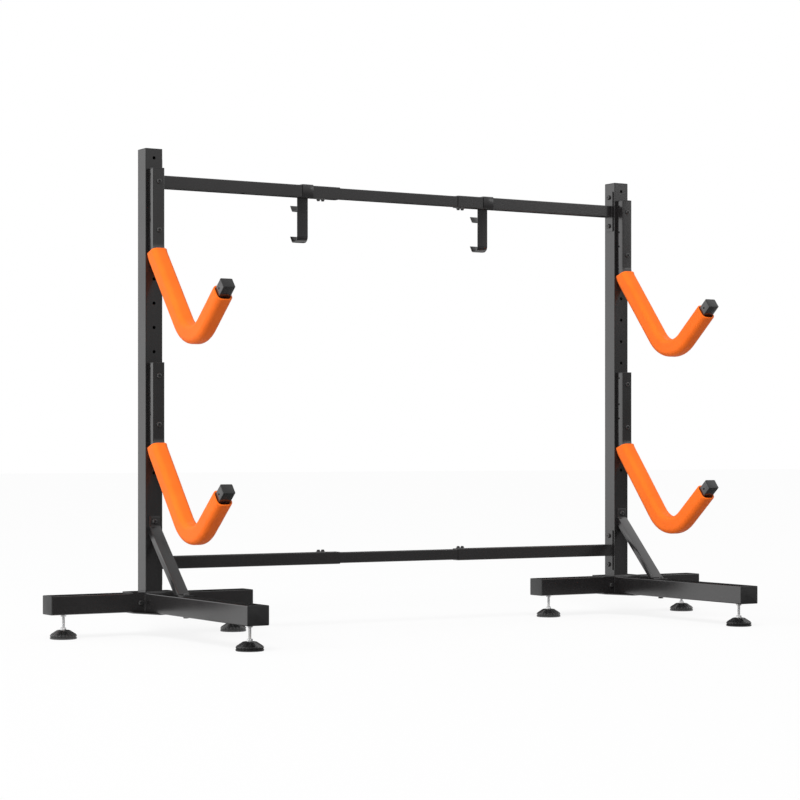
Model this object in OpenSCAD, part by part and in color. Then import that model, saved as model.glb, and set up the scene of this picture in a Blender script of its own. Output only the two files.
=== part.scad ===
// Freestanding rack for two kayaks.
//
// Two end frames, each an upright on a T-shaped base with levelling feet, are
// joined by a top and a bottom crossbar. Each crossbar is an inner tube that
// slides in two outer tubes, so the rack can be made narrower or wider.
// Each upright carries two bent arms with foam sleeves, and two paddle hooks
// hang on the top crossbar.
//
// X runs along the crossbars, Y from the rack's front to its back, Z upwards.
// The origin lies on the floor, under the middle of the bounding box.
// Both end frames are drawn around their own upright, with X pointing to the
// middle of the rack, and the right one is mirrored into place.

/* [Uprights] */
// Distance between the centre lines of the two uprights
upright_spacing = 1558; // [1400:1:1700]
// Outer width of the square upright tube
upright_w = 50; // [46:1:54]
// Wall of the upright tube
upright_wall = 2; // [1.5:0.1:3]
// Length of the upright tube, from the collar to its cap
upright_len = 1186; // [1140:1:1300]
// Number of holes in the row down the upright
hole_count = 14; // [12:1:15]
// Distance from one hole to the next
hole_pitch = 65; // [62:1:67]
// Distance from the top of the cap to the first hole
hole_drop = 25.3; // [20:0.1:30]
// Diameter of the holes that bolts go through
hole_d = 9; // [8.5:0.1:10]

/* [Base] */
// Height of the base tubes' underside above the floor
ground_gap = 65; // [62:1:75]
// Width of the base tubes
base_w = 60; // [54:1:66]
// Height of the base tubes
base_h = 50; // [44:1:56]
// Wall of the base tubes
base_wall = 2; // [1.5:0.1:3]
// Length of the cross tube, without its caps
cross_len = 588; // [520:1:680]
// Length of the front leg's tube, from the collar to its cap
leg_len = 588; // [480:1:680]
// Length of the collar that holds the cross tube
collar_len = 132; // [120:1:160]
// Wall of the collar
collar_wall = 2.5; // [2:0.1:3]
// Gap between the collar and the cross tube
collar_clear = 0.5; // [0.2:0.1:0.8]
// Distance of the collar's bolts from its middle
collar_bolt_x = 43; // [41:1:50]
// Length of the gusset plate under the front leg
gusset_reach = 87; // [60:1:110]
// Thickness of the gusset plate
gusset_t = 3; // [2.5:0.1:4]
// Outer corner radius of the welded tubes
corner_r = 2; // [1.5:0.1:4]

/* [Brace] */
// Width of the brace
brace_w = 34; // [28:1:40]
// Depth of the brace's side flanges
brace_depth = 16; // [12:1:20]
// Thickness of the brace's plate
brace_t = 3; // [2:0.1:4]
// Hole step of the upright at which the brace's top is bolted
brace_step = 15; // [15:1:15]
// Distance of the brace's lower bolt in front of the upright
brace_reach = 195; // [170:1:230]
// Distance from a brace bolt to the plate's bend
brace_tab = 14; // [12:1:20]

/* [Arms] */
// Width of the arm tube, across the rack
arm_w = 34; // [30:1:36]
// Depth of the arm tube, away from the upright
arm_d = 30; // [28:1:32]
// Wall of the arm tube
arm_wall = 2; // [1.5:0.1:2.5]
// Hole step of the upright at which the upper arm's top bolt sits
upper_arm_step = 1; // [1:1:2]
// Hole steps from the upper arm down to the lower arm
arm_drop_steps = 8; // [8:1:9]
// Hole steps between the two bolts of an arm
arm_bolt_steps = 2; // [2:1:2]
// Distance from an arm's top to its upper bolt
arm_head = 36; // [34:1:45]
// Distance from an arm's top to the corner where it leaves the upright
arm_shank = 225; // [215:1:240]
// Length of the arm's rear leg, from corner to corner
arm_rear_len = 352.7; // [300:0.1:400]
// Length of the arm's front leg, from the corner to the end of the tube
arm_front_len = 248; // [240:1:300]
// Angle of the rear leg from the vertical
arm_lean = 40.2; // [35:0.1:45]
// Angle between the arm's two legs
arm_open = 90; // [80:1:100]
// Centre line radius of the arm's upper bend
arm_bend_r = 60; // [50:1:70]
// Centre line radius of the arm's lower bend
arm_seat_r = 95; // [85:1:105]
// Distances from an arm's top to its small side holes
side_hole_drops = [17.5, 96.5, 139.5]; // [0:0.1:200]
// Diameter of the small side holes
side_hole_d = 6; // [4:0.1:7]
// Distance of the side holes from the middle of the arm, towards the upright
side_hole_shift = 3; // [0:1:5]
// Distance of the tip's side hole from the end of the tube
tip_hole_inset = 19; // [17:1:25]

/* [Foam sleeves] */
// Outer diameter of the foam sleeves
foam_d = 54.3; // [50:0.1:60]
// Part of the upper bend's angle that is left bare
foam_start = 20; // [10:1:30]
// Distance from the lower corner to the foam's front end
foam_front_len = 214; // [190:1:220]
// Gap between the foam and the metal next to it
foam_clear = 0.3; // [0.2:0.1:0.5]

/* [Crossbars] */
// Height of the outer tubes
outer_h = 34; // [32:1:40]
// Depth of the outer tubes
outer_w = 30; // [28:1:36]
// Wall of the outer and inner tubes
bar_wall = 1.5; // [1.2:0.1:2]
// Gap between an inner tube and its outer tubes
slide_clear = 0.5; // [0.3:0.1:0.6]
// Distance between the ends of the two outer tubes of a crossbar
bar_gap = 396; // [380:1:500]
// Length of an inner tube inside each outer tube
bar_overlap = 170; // [150:1:250]
// Distance from the top of the uprights to the middle of the top crossbar
top_bar_drop = 86.3; // [80:0.1:95]
// Distance from the collar's top to the middle of the bottom crossbar
low_bar_rise = 76; // [70:1:80]
// Height of the flange plates
flange_h = 120; // [110:1:130]
// Width of the flange plates
flange_w = 36; // [30:1:44]
// Thickness of the flange plates
flange_t = 3; // [2:0.1:4]
// Distance between the two bolts of a flange
flange_bolt_pitch = 86.6; // [80:0.1:92]
// Distance from a left outer tube's end to its nearest clamp screw
left_clamp_inset = 48; // [20:1:60]
// Distance from a right outer tube's end to its nearest clamp screw
right_clamp_inset = 9; // [8:1:40]
// Distance between the two clamp screws of a tube
clamp_pitch = 14; // [12:1:20]
// Diameter of the clamp screws
clamp_d = 5; // [4:0.1:6]
// Diameter of the welded bosses that the clamp screws turn in
boss_d = 10; // [9:0.5:11]
// Height of the welded bosses
boss_h = 4; // [3:0.1:5]

/* [Paddle hooks] */
// Distance of each hook from the middle of the rack
hook_x = 302; // [290:1:400]
// Width of the hook's strap
hook_w = 34; // [26:1:40]
// Thickness of the hook's strap
hook_t = 2; // [1.5:0.1:3]
// Gap between a hook and the tube that it hangs on
hook_clear = 0.3; // [0.3:0.1:0.6]
// Distance from the bar's top to the underside of the lower finger
hook_drop = 160; // [150:1:180]
// Distance from the bar's top to the underside of the upper finger
finger_drop = 70.5; // [60:0.1:80]
// Distance from the bar's back face to the fingers' tips
hook_reach = 39; // [34:1:45]
// Height of the fingers
finger_h = 20; // [17:1:24]
// Angle of the fingers' lips from the vertical
lip_lean = 20; // [10:1:30]
// Centre line radius of the hook's lower bends
hook_bend_r = 6; // [5:0.1:7]
// Centre line radius of the bends over the bar
saddle_bend_r = 2; // [1.6:0.1:2.4]

/* [Levelling feet] */
// Distance from the end of a base tube to its levelling foot
foot_inset = 43; // [38:1:60]
// Diameter of the foot pads
pad_d = 71; // [60:1:76]
// Height of the foot pads' ribbed rim
pad_rim_h = 13.5; // [10:0.1:15]
// Height of the whole foot pad
pad_h = 23.6; // [22:0.1:25]
// Number of grip notches around the rim
notch_count = 24; // [16:1:30]
// Diameter of the grip notches
notch_d = 4; // [3:0.1:5]
// Diameter of the pad's flat top
pad_top_d = 30; // [26:1:36]
// Length of thread that stands above the tube's lower wall
stem_spare = 18; // [16:1:20]

/* [Fasteners] */
// Diameter of the bolts and of the levelling stems
bolt_d = 8; // [7:0.1:8]
// Width of the nuts across their flats
nut_w = 13; // [12:0.1:14]
// Height of the nuts
nut_h = 6.5; // [5:0.1:7]
// Diameter of the round bolt heads
head_d = 14; // [12:0.1:16]
// Height of the round bolt heads
head_h = 5; // [4:0.1:6]
// Width across the flats of the key sockets
socket_w = 5; // [4:0.1:6]
// Depth of the key sockets
socket_depth = 2.5; // [2:0.1:3]
// Gap around a shank in its nut
thread_clear = 0.05; // [0.02:0.01:0.1]

/* [Caps] */
// Thickness of the plastic end caps
cap_t = 3; // [2:0.1:4]
// Depth of the caps' plugs
plug_depth = 10; // [6:1:11]
// Wall of the caps' plugs
plug_wall = 2; // [1.5:0.1:3]
// Gap between a plug and its tube
plug_clear = 0.2; // [0.1:0.1:0.5]

/* [Hidden] */
$fn = 48;
eps = 0.01;
bend_steps = 12;
sleeve_sides = 24;
left = -1;
right = 1;

coat = [0.17, 0.17, 0.175];
plastic = [0.09, 0.09, 0.095];
zinc = [0.72, 0.73, 0.75];
foam = [1.0, 0.5, 0.15];

// Heights of the base
base_mid = ground_gap + base_h / 2;
base_top = ground_gap + base_h;
collar_half = base_w / 2 + collar_clear + collar_wall;
collar_low = ground_gap - collar_clear - collar_wall;
collar_top = base_top + collar_clear + collar_wall;
rack_top = collar_top + upright_len + cap_t;

// Places on the upright
upright_front = -upright_w / 2;
brace_z = hole_z(brace_step);
top_bar_z = rack_top - top_bar_drop;
low_bar_z = collar_top + low_bar_rise;

// Ends of the rack, front and back
front_end = -collar_half - leg_len - cap_t;
back_end = outer_w / 2 + hook_reach;
origin_shift = -(front_end + back_end) / 2;

// Arm, with its own origin at the middle of its top end
arm_y = upright_front - arm_d / 2;
arm_turn = 180 - arm_open;
bend_tangent = arm_bend_r * tan(arm_lean / 2);
seat_tangent = arm_seat_r * tan(arm_turn / 2);
bend_from = [0, 0, bend_tangent - arm_shank];
bend_to = arc_end(bend_from, 0, arm_bend_r, arm_lean);
rear_run = arm_rear_len - bend_tangent - seat_tangent;
seat_from = bend_to + rear_run * ahead(arm_lean);
seat_to = arc_end(seat_from, arm_lean, arm_seat_r, arm_turn);
front_heading = arm_lean + arm_turn;
front_run = arm_front_len - seat_tangent;
arm_tip = seat_to + front_run * ahead(front_heading);
arm_path = concat(
    [[[0, 0, -cap_t], 0]],
    bend(bend_from, 0, arm_bend_r, arm_lean),
    bend(seat_from, arm_lean, arm_seat_r, arm_turn),
    [[arm_tip, front_heading]]);

// Foam sleeve, from the upper bend to the front leg
foam_from = arc_end(bend_from, 0, arm_bend_r, foam_start);
foam_bore = (norm([arm_w, arm_d]) + 2 * foam_clear) / cos(180 / sleeve_sides);
foam_path = concat(
    bend(foam_from, foam_start, arm_bend_r, arm_lean - foam_start),
    bend(seat_from, arm_lean, arm_seat_r, arm_turn),
    [[seat_to + (foam_front_len - seat_tangent) * ahead(front_heading), front_heading]]);

// Crossbars, along the X axis of an end frame
flange_x = upright_w / 2;
outer_from = flange_x + flange_t;
outer_to = (upright_spacing - bar_gap) / 2;
inner_h = outer_h - 2 * bar_wall - 2 * slide_clear;
inner_w = outer_w - 2 * bar_wall - 2 * slide_clear;
inner_len = bar_gap + 2 * bar_overlap;

// Levelling feet, around an upright
outer_foot = [-(cross_len / 2 - foot_inset), 0];
inner_foot = [cross_len / 2 - foot_inset, 0];
front_foot = [0, foot_inset - collar_half - leg_len];
feet = [outer_foot, inner_foot, front_foot];
stem_bottom = 8;

// Height of a hole step on the upright
function hole_z(step) = rack_top - hole_drop - step * hole_pitch;

// Height of an arm's top, from the hole step of its upper bolt
function arm_top(step) = hole_z(step) + arm_head;

// Hole steps of the upper bolts of both arms
arm_steps = [upper_arm_step, upper_arm_step + arm_drop_steps];

// A path bends in the YZ plane. Its heading is 0 when it runs down, 90 when
// it runs to the front and 180 when it runs up.
function ahead(heading) = [0, -sin(heading), -cos(heading)];
function inward(heading) = [0, -cos(heading), sin(heading)];
function arc_end(from, heading, r, turn) =
    from + sign(turn) * r * (inward(heading) - inward(heading + turn));

// Stations of a path, each a point and a heading, around a bend
function bend(from, heading, r, turn) =
    [for (i = [0:bend_steps])
        let (part = turn * i / bend_steps)
            [arc_end(from, heading, r, part), heading + part]];

// Outline of a bar of a given depth that follows a path
function bar_outline(path, depth) = concat(
    [for (station = path) yz(station[0] + depth / 2 * inward(station[1]))],
    [for (i = [len(path) - 1:-1:0]) yz(path[i][0] - depth / 2 * inward(path[i][1]))]);
function yz(point) = [point.y, point.z];

// Flat-sided bar that follows a path, of a given width along X
module bent_bar(path, width, depth) {
    translate([-width / 2, 0, 0])
        along_x()
            linear_extrude(width)
                polygon(bar_outline(path, depth));
}

// Round sleeve that follows a path
module bent_sleeve(path, outer_r, inner_r) {
    sides = sleeve_sides;
    last = len(path) - 1;
    points = [for (r = [outer_r, inner_r], station = path, k = [0:sides - 1])
        let (a = k * 360 / sides)
            station[0] + r * cos(a) * [1, 0, 0] + r * sin(a) * inward(station[1])];
    inner = (last + 1) * sides;
    skin = [for (i = [0:last - 1], k = [0:sides - 1])
        let (a = i * sides + k, b = i * sides + (k + 1) % sides)
            [a, b, b + sides, a + sides]];
    bore = [for (face = skin) [for (i = [3:-1:0]) face[i] + inner]];
    near = [for (k = [0:sides - 1])
        let (b = (k + 1) % sides)
            [k, k + inner, b + inner, b]];
    far = [for (face = near) [for (i = [3:-1:0]) face[i] + last * sides]];
    polyhedron(points, concat(skin, bore, near, far));
}

// Puts a piece of an end frame in its place in the rack
module at_side(side) {
    translate([0, origin_shift, 0])
        mirror([side > 0 ? 1 : 0, 0, 0])
            translate([-upright_spacing / 2, 0, 0])
                children();
}

// Rectangle with rounded corners, centred
module rounded_rect(w, h, r) {
    square([w, h - 2 * r], center = true);
    square([w - 2 * r, h], center = true);
    for (x = [-1, 1], y = [-1, 1])
        translate([x * (w / 2 - r), y * (h / 2 - r)])
            circle(r);
}

// Section of a rectangular tube
module tube_section(w, h, wall) {
    difference() {
        rounded_rect(w, h, corner_r);
        rounded_rect(w - 2 * wall, h - 2 * wall, corner_r - wall / 2);
    }
}

// Cap for a tube that ends at Z 0 and runs down from there
module end_cap(w, h, wall) {
    inset = 2 * (wall + plug_clear);
    linear_extrude(cap_t)
        rounded_rect(w, h, corner_r);
    translate([0, 0, -plug_depth])
        linear_extrude(plug_depth)
            tube_section(w - inset, h - inset, plug_wall);
}

// Bolt with its head below Z 0 and its shank above
module bolt(shank) {
    difference() {
        union() {
            translate([0, 0, -head_h * 0.4])
                cylinder(d = head_d, h = head_h * 0.4);
            translate([0, 0, -head_h])
                cylinder(d1 = head_d * 0.6, d2 = head_d, h = head_h * 0.6);
        }
        translate([0, 0, -head_h - eps])
            cylinder(d = socket_w / cos(30), h = socket_depth + eps, $fn = 6);
    }
    cylinder(d = bolt_d, h = shank);
}

// Nut that stands on Z 0
module nut() {
    difference() {
        cylinder(d = nut_w / cos(30), h = nut_h, $fn = 6);
        translate([0, 0, -eps])
            cylinder(d = bolt_d + 2 * thread_clear, h = nut_h + 2 * eps);
    }
}

// Hole along Y through a tube of a given depth
module through_y(x, z, depth, d) {
    translate([x, -depth / 2 - eps, z])
        rotate([-90, 0, 0])
            cylinder(d = d, h = depth + 2 * eps);
}

// Lays an upright drawing along X
module along_x() {
    rotate([90, 0, 90])
        children();
}

// Base

module cross_tube(side) {
    color(coat) at_side(side) difference() {
        translate([-cross_len / 2, 0, base_mid])
            along_x()
                linear_extrude(cross_len)
                    tube_section(base_w, base_h, base_wall);
        for (foot = [outer_foot, inner_foot])
            translate([foot.x, foot.y, ground_gap - eps])
                cylinder(d = hole_d, h = base_wall + 2 * eps);
        for (x = [-collar_bolt_x, collar_bolt_x])
            translate([x, -base_w / 2 - eps, base_mid])
                rotate([-90, 0, 0])
                    cylinder(d = hole_d, h = base_wall + 2 * eps);
    }
}

module front_leg(side) {
    color(coat) at_side(side) difference() {
        translate([0, -collar_half, base_mid])
            rotate([90, 0, 0])
                linear_extrude(leg_len)
                    tube_section(base_w, base_h, base_wall);
        translate([front_foot.x, front_foot.y, ground_gap - eps])
            cylinder(d = hole_d, h = base_wall + 2 * eps);
        translate([0, upright_front - brace_reach, ground_gap - eps])
            cylinder(d = hole_d, h = base_h + 2 * eps);
    }
}

// Collar around the cross tube, with the gusset plate under the front leg
module leg_bracket(side) {
    color(coat) at_side(side) {
        difference() {
            translate([-collar_len / 2, 0, base_mid])
                along_x()
                    linear_extrude(collar_len)
                        tube_section(2 * collar_half, collar_top - collar_low, collar_wall);
            for (x = [-collar_bolt_x, collar_bolt_x])
                translate([x, -collar_half - eps, base_mid])
                    rotate([-90, 0, 0])
                        cylinder(d = hole_d, h = collar_wall + 2 * eps);
        }
        translate([0, 0, ground_gap - gusset_t])
            linear_extrude(gusset_t)
                polygon([
                    [-collar_len / 2, corner_r - collar_half],
                    [collar_len / 2, corner_r - collar_half],
                    [collar_len / 2, -collar_half],
                    [base_w / 2, -collar_half - gusset_reach],
                    [-base_w / 2, -collar_half - gusset_reach],
                    [-collar_len / 2, -collar_half]
                ]);
    }
}

module base_caps(side) {
    color(plastic) at_side(side) {
        for (end = [-1, 1])
            translate([end * cross_len / 2, 0, base_mid])
                rotate([90, 0, end * 90])
                    end_cap(base_w, base_h, base_wall);
        translate([0, -collar_half - leg_len, base_mid])
            rotate([90, 0, 0])
                end_cap(base_w, base_h, base_wall);
    }
}

// Upright

module upright(side) {
    color(coat) at_side(side) difference() {
        translate([0, 0, collar_top])
            linear_extrude(upright_len)
                tube_section(upright_w, upright_w, upright_wall);
        for (step = [0:hole_count - 1])
            through_y(0, hole_z(step), upright_w, hole_d);
        through_y(0, brace_z, upright_w, hole_d);
        for (bar_z = [top_bar_z, low_bar_z], end = [-0.5, 0.5])
            translate([upright_w / 2 - upright_wall - eps, 0, bar_z + end * flange_bolt_pitch])
                rotate([0, 90, 0])
                    cylinder(d = hole_d, h = upright_wall + 2 * eps);
    }
}

module upright_cap(side) {
    color(plastic) at_side(side)
        translate([0, 0, collar_top + upright_len])
            end_cap(upright_w, upright_w, upright_wall);
}

// Channel from the upright to the front leg, with a flat tab at each end
module brace(side) {
    foot_y = upright_front - brace_reach;
    bend_y = foot_y + brace_tab;
    bend_z = brace_z - brace_tab;
    slope = atan2(upright_front - bend_y, bend_z - base_top);
    flange_shift = brace_depth / cos(slope);
    color(coat) at_side(side) difference() {
        translate([-brace_w / 2, 0, 0])
            along_x() {
                linear_extrude(brace_w)
                    polygon([
                        [upright_front, brace_z + brace_tab],
                        [upright_front - brace_t, brace_z + brace_tab],
                        [upright_front - brace_t, bend_z],
                        [bend_y, base_top + brace_t],
                        [foot_y - brace_tab, base_top + brace_t],
                        [foot_y - brace_tab, base_top],
                        [bend_y + brace_t * tan(slope / 2), base_top],
                        [upright_front, bend_z - brace_t * tan(slope / 2)]
                    ]);
                for (x = [0, brace_w - brace_t])
                    translate([0, 0, x])
                        linear_extrude(brace_t)
                            intersection() {
                                translate([bend_y, base_top])
                                    square([upright_front - bend_y, bend_z - base_top]);
                                polygon([
                                    [bend_y, base_top + brace_t],
                                    [upright_front - brace_t, bend_z],
                                    [upright_front - brace_t + flange_shift, bend_z],
                                    [bend_y + flange_shift, base_top + brace_t],
                                    [bend_y + flange_shift, base_top],
                                    [bend_y, base_top]
                                ]);
                            }
            }
        translate([0, upright_front - brace_t - eps, brace_z])
            rotate([-90, 0, 0])
                cylinder(d = hole_d, h = brace_t + 2 * eps);
        translate([0, foot_y, base_top - eps])
            cylinder(d = hole_d, h = brace_t + 2 * eps);
    }
}

module brace_bolts(side) {
    color(zinc) at_side(side) {
        translate([0, upright_front - brace_t, brace_z])
            rotate([-90, 0, 0])
                bolt(brace_t + upright_w + nut_h);
        translate([0, upright_front - brace_reach, base_top + brace_t])
            rotate([180, 0, 0])
                bolt(brace_t + base_h + nut_h);
    }
}

// Short bolts of the flange plates and of the collar
module frame_bolts(side) {
    color(zinc) at_side(side) {
        for (bar_z = [top_bar_z, low_bar_z], end = [-0.5, 0.5])
            translate([outer_from, 0, bar_z + end * flange_bolt_pitch])
                rotate([0, -90, 0])
                    bolt(flange_t + upright_wall + nut_h);
        for (x = [-collar_bolt_x, collar_bolt_x])
            translate([x, -collar_half, base_mid])
                rotate([-90, 0, 0])
                    bolt(collar_wall + collar_clear + base_wall + nut_h);
    }
}

// Nuts behind the upright and under the front leg
module frame_nuts(side) {
    color(zinc) at_side(side) {
        for (step = arm_steps, extra = [0, arm_bolt_steps])
            translate([0, upright_w / 2, hole_z(step + extra)])
                rotate([-90, 0, 0])
                    nut();
        translate([0, upright_w / 2, brace_z])
            rotate([-90, 0, 0])
                nut();
        translate([0, upright_front - brace_reach, ground_gap - nut_h])
            nut();
    }
}

// Nuts welded to the insides of the tubes
module weld_nuts(side) {
    color(zinc) at_side(side) {
        for (foot = feet)
            translate([foot.x, foot.y, ground_gap + base_wall])
                nut();
        for (bar_z = [top_bar_z, low_bar_z], end = [-0.5, 0.5])
            translate([upright_w / 2 - upright_wall, 0, bar_z + end * flange_bolt_pitch])
                rotate([0, -90, 0])
                    nut();
        for (x = [-collar_bolt_x, collar_bolt_x])
            translate([x, base_wall - base_w / 2, base_mid])
                rotate([-90, 0, 0])
                    nut();
    }
}

// Arms

// Places an arm by the hole step of its upper bolt
module at_arm(side, step) {
    at_side(side)
        translate([0, arm_y, arm_top(step)])
            children();
}

// Hole along X through an arm
module side_hole(from) {
    translate([-arm_w / 2 - eps, from.y, from.z])
        rotate([0, 90, 0])
            cylinder(d = side_hole_d, h = arm_w + 2 * eps);
}

module arm(side, step) {
    hollow_w = arm_w - 2 * arm_wall;
    hollow_d = arm_d - 2 * arm_wall;
    color(coat) at_arm(side, step) difference() {
        bent_bar(arm_path, arm_w, arm_d);
        bent_bar(arm_path, hollow_w, hollow_d);
        for (extra = [0, arm_bolt_steps])
            through_y(0, -arm_head - extra * hole_pitch, arm_d, hole_d);
        for (drop = side_hole_drops)
            side_hole([0, side_hole_shift, -drop]);
        side_hole(arm_tip - tip_hole_inset * ahead(front_heading));
    }
}

module arm_caps(side) {
    color(plastic)
        for (step = arm_steps)
            at_arm(side, step) {
                translate([0, 0, -cap_t])
                    end_cap(arm_w, arm_d, arm_wall);
                translate(arm_tip)
                    rotate([180 - front_heading, 0, 0])
                        end_cap(arm_w, arm_d, arm_wall);
            }
}

module arm_bolts(side) {
    color(zinc) at_side(side)
        for (step = arm_steps, extra = [0, arm_bolt_steps])
            translate([0, upright_front - arm_d, hole_z(step + extra)])
                rotate([-90, 0, 0])
                    bolt(arm_d + upright_w + nut_h);
}

// Foam sleeve, pressed flat where it lies against the upright
module foam_sleeve(side, step) {
    flat_y = arm_d / 2 - foam_clear;
    color(foam) at_arm(side, step) difference() {
        bent_sleeve(foam_path, foam_d / 2, foam_bore / 2);
        translate([-foam_d / 2 - eps, flat_y, -arm_shank - foam_d])
            cube([foam_d + 2 * eps, foam_d, 2 * foam_d]);
    }
}

// Crossbars

// Outer tube with its flange plate. Clamp screws go in from above or below.
module outer_tube(side, bar_z, face) {
    color(coat) at_side(side) translate([0, 0, bar_z]) difference() {
        union() {
            translate([outer_from, 0, 0])
                along_x()
                    linear_extrude(outer_to - outer_from)
                        tube_section(outer_w, outer_h, bar_wall);
            translate([flange_x, 0, 0])
                along_x()
                    linear_extrude(flange_t)
                        rounded_rect(flange_w, flange_h, corner_r);
            at_clamps(side, face)
                translate([0, 0, -eps])
                    cylinder(d = boss_d, h = boss_h + eps);
        }
        for (end = [-0.5, 0.5])
            translate([flange_x - eps, 0, end * flange_bolt_pitch])
                rotate([0, 90, 0])
                    cylinder(d = hole_d, h = flange_t + 2 * eps);
        at_clamps(side, face)
            translate([0, 0, -bar_wall - eps])
                cylinder(d = clamp_d + 2 * thread_clear, h = bar_wall + boss_h + 2 * eps);
    }
}

// Places of the clamp screws on the top or the underside of an outer tube
module at_clamps(side, face) {
    inset = side == left ? left_clamp_inset : right_clamp_inset;
    for (extra = [0, clamp_pitch])
        translate([outer_to - inset - extra, 0, face * outer_h / 2])
            rotate([face > 0 ? 0 : 180, 0, 0])
                children();
}

module clamp_screw() {
    translate([0, 0, boss_h])
        difference() {
            cylinder(d = boss_d - 1, h = clamp_d * 0.6);
            translate([0, 0, clamp_d * 0.3])
                cylinder(d = clamp_d * 0.6, h = clamp_d, $fn = 6);
        }
    translate([0, 0, -bar_wall])
        cylinder(d = clamp_d, h = bar_wall + boss_h);
}

module clamp_screws(side) {
    color(zinc) at_side(side) {
        translate([0, 0, top_bar_z])
            at_clamps(side, -1)
                clamp_screw();
        translate([0, 0, low_bar_z])
            at_clamps(side, 1)
                clamp_screw();
    }
}

module inner_tube(bar_z) {
    color(coat)
        translate([-inner_len / 2, origin_shift, bar_z])
            along_x()
                linear_extrude(inner_len)
                    tube_section(inner_w, inner_h, bar_wall);
}

// Paddle hooks

// Path of a finger that starts at a point, runs back and ends in a leaning lip
function finger_path(from) =
    let (
        lip_turn = lip_lean - 90,
        tip_y = outer_w / 2 + hook_reach,
        rise = hook_bend_r * (1 - cos(lip_turn)),
        lip_run = (finger_h - hook_t / 2 - rise) / cos(lip_lean),
        flat_to = tip_y - lip_run * sin(lip_lean) + hook_bend_r * sin(lip_turn) - hook_t / 2,
        lip_from = arc_end([0, flat_to, from.z], -90, hook_bend_r, lip_turn),
        heading = lip_turn - 90
    )
    concat(
        [[from, -90]],
        bend([0, flat_to, from.z], -90, hook_bend_r, lip_turn),
        [[lip_from + lip_run * ahead(heading), heading]]);

module hook(side) {
    strap_y = outer_w / 2 + hook_clear + hook_t / 2;
    bar_top = outer_h / 2;
    saddle_z = bar_top + hook_clear + hook_t / 2;
    bend_z = saddle_z - saddle_bend_r;
    floor_z = bar_top - hook_drop + hook_t / 2;
    strap_path = concat(
        [[[0, -strap_y, -bar_top], 180]],
        bend([0, -strap_y, bend_z], 180, saddle_bend_r, 90),
        bend([0, strap_y - saddle_bend_r, saddle_z], 270, saddle_bend_r, 90),
        bend([0, strap_y, floor_z + hook_bend_r], 0, hook_bend_r, -90),
        finger_path([0, strap_y + hook_bend_r + hook_t, floor_z]));
    color(coat) at_side(side) translate([upright_spacing / 2 - hook_x, 0, top_bar_z]) {
        bent_bar(strap_path, hook_w, hook_t);
        bent_bar(finger_path([0, strap_y, bar_top - finger_drop + hook_t / 2]), hook_w, hook_t);
    }
}

// Levelling feet

// Nuts on the stems, under the base tubes
module lock_nuts(side) {
    color(zinc) at_side(side)
        for (foot = feet)
            translate([foot.x, foot.y, ground_gap - nut_h])
                nut();
}

// Threaded stem with its own hexagon, which stands on the pad
module foot_stem(side, foot) {
    stem_top = ground_gap + base_wall + stem_spare;
    color(zinc) at_side(side) translate([foot.x, foot.y, 0]) {
        translate([0, 0, stem_bottom])
            cylinder(d = bolt_d, h = stem_top - stem_bottom);
        translate([0, 0, pad_h])
            cylinder(d = nut_w / cos(30), h = nut_h, $fn = 6);
    }
}

// Round pad with a notched rim and a sloping top
module foot_pad(side, foot) {
    shoulder_d = pad_d - 2 * notch_d;
    color(plastic) at_side(side) translate([foot.x, foot.y, 0]) difference() {
        union() {
            linear_extrude(pad_rim_h)
                difference() {
                    circle(d = pad_d, $fn = 96);
                    for (i = [0:notch_count - 1])
                        rotate(i * 360 / notch_count)
                            translate([pad_d / 2, 0])
                                circle(d = notch_d, $fn = 24);
                }
            translate([0, 0, pad_rim_h])
                cylinder(d1 = shoulder_d, d2 = pad_top_d, h = pad_h - pad_rim_h, $fn = 96);
        }
        translate([0, 0, stem_bottom])
            cylinder(d = bolt_d + 2 * thread_clear, h = pad_h);
    }
}

cross_tube(left);  // left_cross_tube
front_leg(left);  // left_front_leg
leg_bracket(left);  // left_leg_bracket
upright(left);  // left_upright
upright_cap(left);  // left_upright_cap
base_caps(left);  // left_base_caps
brace(left);  // left_brace
brace_bolts(left);  // left_brace_bolts
frame_bolts(left);  // left_frame_bolts
frame_nuts(left);  // left_frame_nuts
weld_nuts(left);  // left_weld_nuts
lock_nuts(left);  // left_lock_nuts
arm(left, arm_steps[0]);  // left_upper_arm
arm(left, arm_steps[1]);  // left_lower_arm
arm_caps(left);  // left_arm_caps
arm_bolts(left);  // left_arm_bolts
foam_sleeve(left, arm_steps[0]);  // left_upper_foam
foam_sleeve(left, arm_steps[1]);  // left_lower_foam
outer_tube(left, top_bar_z, -1);  // left_top_tube
outer_tube(left, low_bar_z, 1);  // left_bottom_tube
clamp_screws(left);  // left_clamp_screws
hook(left);  // left_hook
foot_stem(left, outer_foot);  // left_outer_stem
foot_pad(left, outer_foot);  // left_outer_pad
foot_stem(left, inner_foot);  // left_inner_stem
foot_pad(left, inner_foot);  // left_inner_pad
foot_stem(left, front_foot);  // left_front_stem
foot_pad(left, front_foot);  // left_front_pad

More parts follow.
